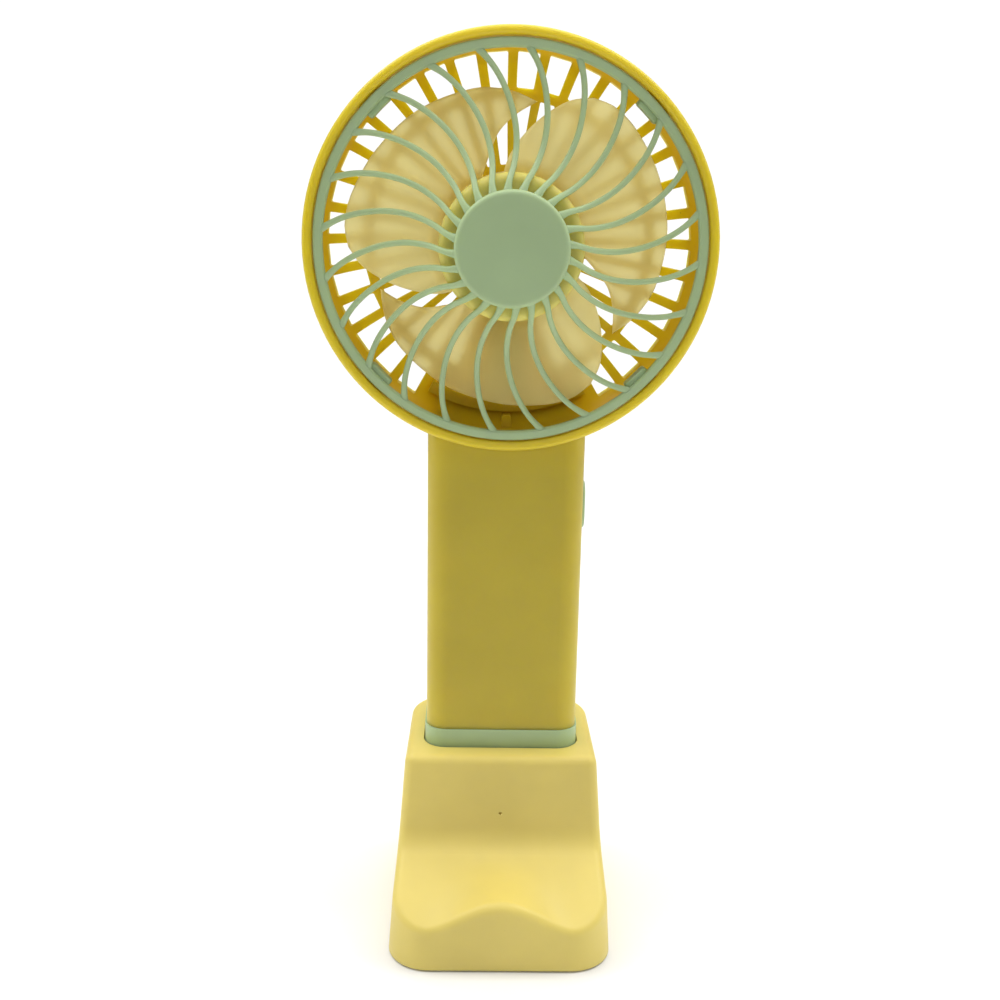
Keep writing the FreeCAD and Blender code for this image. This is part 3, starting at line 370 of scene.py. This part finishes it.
MATERIALS = {
    "dock_plastic": plastic("dock_butter", (0.77, 0.62, 0.16), (0.40, 0.50), glow=0.2),
    # one yellow plastic for all shells: its handle painted darker as painted shade, its head painted lighter and
    # more saturated as a painted glow
    "yellow_plastic": plastic("shell_yellow", (0.60, 0.46, 0.032), (0.34, 0.46), glow=0.85,
                              glow_depth=0.007, painted_glow_colour=(0.72, 0.53, 0.022)),
    "mint_plastic": plastic("grille_mint", (0.42, 0.56, 0.30), (0.33, 0.44), glow=0.15),
    "blade_plastic": plastic("blade_cream", (0.95, 0.85, 0.42), (0.56, 0.66), grain=1500.0,
                             relief=0.06, through=0.62, ior=1.12),
    "blade_hub": plastic("blade_hub_cream", (0.95, 0.78, 0.20), (0.5, 0.6), grain=1500.0,
                         relief=0.06, glow=0.5, glow_depth=0.004),
    "foot_rubber": rubber("foot_rubber_grey", (0.10, 0.10, 0.10)),
    "screw_steel": metal("zinc_steel", (0.60, 0.60, 0.62)),
    "shaft_steel": metal("ground_steel", (0.70, 0.70, 0.72), (0.12, 0.22)),
    "motor_steel": metal("nickel_steel", (0.70, 0.69, 0.66)),
    "magnet_steel": metal("dark_sinter", (0.13, 0.13, 0.14), (0.5, 0.7)),
    "copper_wire": wound_wire("enamel_copper", (0.62, 0.24, 0.09)),
    "brass_contact": metal("contact_brass", (0.78, 0.58, 0.27)),
    "black_plastic": plastic("inner_black", (0.035, 0.035, 0.037), (0.4, 0.55), tone=0.2),
    "clear_plastic": plastic("light_pipe_clear", (0.93, 0.93, 0.90), (0.1, 0.16), relief=0.03,
                             tone=0.02, through=0.9),
    "board_green": board("solder_mask"),
    "board_parts": plastic("ceramic_parts", (0.62, 0.55, 0.40), (0.3, 0.45), tone=0.15),
    "battery_wrap": plastic("cell_sleeve", (0.035, 0.17, 0.34), (0.2, 0.3), tone=0.1, relief=0.05),
    "red_wire": rubber("insulation_red", (0.55, 0.03, 0.025)),
    "black_wire": rubber("insulation_black", (0.025, 0.025, 0.025)),
}


def dress_cad_nodes():
    """Every carried-over node gets its slot's material."""
    for row in frame["record"]["subparts"]:
        node = frame["nodes"][row["node"]]
        node.data.materials.clear()
        node.data.materials.append(MATERIALS[row["material_slot"]])


# ---------------------------------------------------------------- grille
def spoke_frame(radius):
    """Middle, width direction and depth direction of a spoke at a radius."""
    def at(r):
        offset, depth = smooth(SPOKE_PATH, r)
        return head_point(r, offset, depth)

    tangent = (at(radius + 0.1) - at(radius - 0.1)).normalized()
    wide = tangent.cross(Vector((0, 1, 0))).normalized()
    return at(radius), wide, wide.cross(tangent).normalized()


def add_spoke(bm, clockwise):
    """One curved spoke: a rounded bar that flares where it meets the hub and the ring."""
    stations, sides = 44, 14
    turn = turn_about_head(clockwise)
    rings = []
    for k in range(stations + 1):
        radius = SPOKE_PATH[0][0] + (SPOKE_PATH[-1][0] - SPOKE_PATH[0][0]) * k / stations
        middle, wide, deep = spoke_frame(radius)
        to_ring = min(max(1 - (RING_INNER - radius) / RING_FLARE_LENGTH, 0.0), 1.0)
        to_hub = max(0.0, 1 - (radius - HUB_RADIUS) / HUB_FLARE_LENGTH)
        half_wide = (SPOKE_WIDTH / 2 + RING_FLARE * to_ring**2 + HUB_FLARE_WIDE * to_hub**2) * MM
        half_deep = (SPOKE_DEPTH / 2 + HUB_FLARE_DEEP * to_hub**2) * MM
        ring = []
        for i in range(sides):
            a = 2 * math.pi * i / sides
            c, s = math.cos(a), math.sin(a)
            x = math.copysign(abs(c)**SPOKE_POWER, c) * half_wide
            y = math.copysign(abs(s)**SPOKE_POWER, s) * half_deep
            ring.append(turn @ (middle + wide * x + deep * y))
        rings.append(ring)
    quads(bm, rings, caps=True)


def add_arc_block(bm, outline, clockwise, half_angle):
    """A short piece of a turned section, whose ends shrink a little so that they look rounded."""
    steps, end, shrink = 16, 0.2, 0.28
    middle = sum((Vector(p) for p in outline), Vector((0, 0))) / len(outline)
    rings = []
    for k in range(steps + 1):
        share = 2 * k / steps - 1
        size = 1 - shrink * max(0.0, (abs(share) - (1 - end)) / end)**2
        ring = [middle + (Vector(p) - middle) * size for p in outline]
        rings.append([head_point(p.x, clockwise + share * half_angle, p.y) for p in ring])
    quads(bm, rings, caps=True)


def add_lug(bm, clockwise):
    """One lug of the bayonet: a post behind the ring, with a foot that reaches outwards."""
    half = math.degrees(LUG_LENGTH / 2 / RING_INNER)
    for inner, outer, front, corner in (LUG_POST, LUG_FOOT):
        outline = [(inner, front), (inner, LUG_BACK), (outer, LUG_BACK), (outer, front)]
        add_arc_block(bm, rounded(outline, corner), clockwise, half)


def build_grille(bm):
    """The ring, the hub disc, the spokes between them and the bayonet's lugs."""
    ring = rounded([(RING_INNER, RING_BACK), (RING_INNER, 0.3), (44.75, -0.12), (46.2, 0.0),
                    (RING_OUTER, 0.35), (RING_OUTER, RING_BACK)], 0.18)
    lathe(bm, ring, 288)
    hub = rounded([(0.0, HUB_FACE), (HUB_RADIUS, HUB_FACE, 1.4), (HUB_RADIUS, HUB_BACK),
                   (0.0, HUB_BACK)], 0.3, 8, closed=False)
    lathe(bm, hub, 144)
    for i in range(SPOKES):
        add_spoke(bm, SPOKE_FIRST + 360.0 * i / SPOKES)
    for angle in LUG_ANGLES:
        add_lug(bm, angle)


# ---------------------------------------------------------------- rotor
def spoke_back(radius):
    """The depth of the spokes' back at a radius."""
    return smooth(SPOKE_PATH, radius)[1] + SPOKE_DEPTH / 2


def blade_middle(across, out):
    """A point of the blade's middle surface; across runs from lobe to tip, out from hub to rim."""
    def flat(curve, share):
        pairs = [(r * math.sin(math.radians(a)), r * math.cos(math.radians(a))) for r, a in curve]
        return along(pairs, share)

    root_radius, root_start = BLADE_LOBE[0]
    root_angle = math.radians(root_start + (BLADE_TIP[0][1] - root_start) * across)
    root = Vector((math.sin(root_angle), math.cos(root_angle))) * root_radius
    lobe, tip, rim = flat(BLADE_LOBE, out), flat(BLADE_TIP, out), flat(BLADE_RIM, across)
    corners = [flat(c, e) for c, e in ((BLADE_LOBE, 0), (BLADE_TIP, 0), (BLADE_LOBE, 1), (BLADE_TIP, 1))]
    x, z = (lobe * (1 - across) + tip * across + root * (1 - out) + rim * out
            - corners[0] * (1 - across) * (1 - out) - corners[1] * across * (1 - out)
            - corners[2] * (1 - across) * out - corners[3] * across * out)
    radius, angle = math.hypot(x, z), math.degrees(math.atan2(x, z))
    front = max(spoke_back(radius) + BLADE_THICKNESS / 2 + BLADE_CLEARANCE, BLADE_FRONT)
    ease = across - BLADE_CURVE * math.sin(2 * math.pi * across) * (1 - out)
    return head_point(radius, angle, front + (BLADE_BACK - front) * ease)


def add_blade(bm, clockwise):
    """A twisted blade of even thickness whose free edges thin to a rounded lip."""
    # shares across the blade and outwards, close together near the free edges
    columns = [0, 0.006, 0.02] + [0.045 + 0.91 * i / 34 for i in range(35)] + [0.98, 0.994, 1]
    rows = [0.9 * i / 26 for i in range(27)] + [0.925, 0.95, 0.97, 0.985, 0.995, 1]
    turn = turn_about_head(clockwise)
    grid = [[blade_middle(a, o) for a in columns] for o in rows]
    back_dir = Vector((0, 1, 0))
    sheets = []
    for side in (-1, 1):
        sheet = []
        for j, o in enumerate(rows):
            line = []
            for i, a in enumerate(columns):
                edge = min(a / SIDE_EDGE, (1 - a) / SIDE_EDGE, (1 - o) / OUTER_EDGE, 1.0)
                half = BLADE_THICKNESS / 2 * MM * math.sqrt(max(0.0, 1 - (1 - edge)**2))
                line.append(turn @ (grid[j][i] + back_dir * side * half))
            sheet.append(line)
        sheets.append(sheet)
    for sheet in sheets:
        quads(bm, sheet, closed_rings=False)
    quads(bm, [sheets[0][0], sheets[1][0]], closed_rings=False)


def build_rotor_hub(bm):
    """A cup over the motor, with the sleeve on its shaft."""
    inside, floor = ROTOR_RADIUS - ROTOR_WALL, ROTOR_FRONT + 1.5
    cup = rounded([(0.0, ROTOR_FRONT), (ROTOR_RADIUS, ROTOR_FRONT, 2.2), (ROTOR_RADIUS, ROTOR_BACK),
                   (inside, ROTOR_BACK), (inside, floor), (SLEEVE_RADIUS, floor),
                   (SLEEVE_RADIUS, SLEEVE_BACK), (BORE_RADIUS, SLEEVE_BACK),
                   (BORE_RADIUS, BORE_END, 0), (0.0, BORE_END)], 0.4, 6, closed=False)
    lathe(bm, cup, 144)


def build_blades(bm):
    for i in range(BLADES):
        add_blade(bm, 360.0 / BLADES * i)


# ---------------------------------------------------------------- stage, light and camera
def make_stage():
    """A round pale floor; past its edge the world is just as pale."""
    material, nodes, links, bsdf, where = shader("studio_paper")
    tint = ramp(nodes, links, noise(nodes, links, where, 3.0), [(0.3, (0.88, 0.88, 0.88)),
                                                               (0.7, (0.91, 0.91, 0.91))])
    links.new(tint, bsdf.inputs["Base Color"])
    bsdf.inputs["Roughness"].default_value = 0.9
    sides, inner = 96, 0.3
    outline = [(inner, 0.0), (FLOOR_RADIUS, 0.0), (FLOOR_RADIUS, -FLOOR_THICKNESS),
               (inner, -FLOOR_THICKNESS)]
    turns = [2 * math.pi * i / sides for i in range(sides)]
    rings = [[Vector((r * math.cos(a), r * math.sin(a), z)) for a in turns] for r, z in outline]
    floor = mesh_object("studio_floor", lambda bm: quads(bm, rings, caps=True), material)


def area_light(name, at, towards, size, power):
    """A white rectangular softbox: sizes in metres, power in watts."""
    data = bpy.data.lights.new(name, "AREA")
    data.shape = "RECTANGLE"
    data.size, data.size_y = size
    data.energy = power
    light = bpy.data.objects.new(name, data)
    light.location = at
    light.rotation_euler = (Vector(towards) - Vector(at)).to_track_quat("-Z", "Y").to_euler()
    bpy.context.scene.collection.objects.link(light)


def make_world():
    """A white surround that gives only a dim even light of its own."""
    world = bpy.data.worlds.new("studio")
    world.use_nodes = True
    nodes, links = world.node_tree.nodes, world.node_tree.links
    path = nodes.new("ShaderNodeLightPath")
    seen = nodes.new("ShaderNodeMath")
    seen.operation = "MAXIMUM"
    links.new(path.outputs["Is Camera Ray"], seen.inputs[0])
    links.new(path.outputs["Is Transmission Ray"], seen.inputs[1])
    strength = nodes.new("ShaderNodeMapRange")
    strength.inputs["To Min"].default_value = 0.2
    strength.inputs["To Max"].default_value = 1.05
    links.new(seen.outputs[0], strength.inputs["Value"])
    nodes["Background"].inputs["Color"].default_value = (1, 1, 1, 1)
    links.new(strength.outputs["Result"], nodes["Background"].inputs["Strength"])
    bpy.context.scene.world = world
    bpy.context.scene.view_settings.view_transform = "Standard"


def make_lights():
    middle = (0.0, 0.0, 0.1)
    area_light("top_softbox", (0.0, 0.2, 1.2), middle, (0.6, 0.6), 2.6)
    area_light("front_softbox", (0.0, -0.35, 1.15), middle, (0.8, 0.5), 2.7)
    area_light("bowl_fill", (0.0, -0.9, 0.62), (0.0, 0.0, 0.17), (0.5, 0.4), 0.9)
    area_light("rear_softbox", (0.0, 0.8, 0.95), (0.0, 0.0, 0.16), (1.4, 0.7), 6.0)
    for side in (-1, 1):
        area_light("side_softbox", (side * 0.62, 0.05, 1.05), middle, (0.5, 0.7), 5.0)
        area_light("side_strip", (side * 0.85, 0.05, 0.3), (0.0, 0.0, 0.12), (0.12, 0.9), 1.5)


def make_camera():
    """The view from close in front of the head, a little above its axis, looking down by 15 degrees."""
    place = Vector((-0.00754, -0.3067, 0.19451))
    # the turns down, to the right and about the line of sight, in radians
    down, aside, lean = 0.2626, 0.0189, -0.0189
    forward = Vector((math.sin(aside) * math.cos(down), math.cos(aside) * math.cos(down),
                      -math.sin(down)))
    right = Vector((math.cos(aside), -math.sin(aside), 0.0))
    up = right.cross(forward)
    across = right * math.cos(lean) - up * math.sin(lean)
    above = right * math.sin(lean) + up * math.cos(lean)
    data = bpy.data.cameras.new("camera")
    data.sensor_width = 36.0
    data.lens = 45.63
    data.shift_x, data.shift_y = 0.00135, 0.00187
    data.clip_start = 0.01
    camera = bpy.data.objects.new("camera", data)
    turn = Matrix((across, above, -forward)).transposed().to_4x4()
    camera.matrix_world = Matrix.Translation(place) @ turn
    bpy.context.scene.collection.objects.link(camera)
    bpy.context.scene.camera = camera


# ---------------------------------------------------------------- put it together
dress_cad_nodes()

grille = mesh_object("grille", build_grille, MATERIALS["mint_plastic"])
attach(grille, "grille")
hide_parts("front_grille")

rotor_hub = mesh_object("rotor_hub", build_rotor_hub, MATERIALS["blade_hub"])
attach(rotor_hub, "rotor")
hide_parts("fan_rotor")
blades = mesh_object("rotor_blades", build_blades, MATERIALS["blade_plastic"])
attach(blades, "rotor")

make_stage()
make_world()
make_lights()
make_camera()
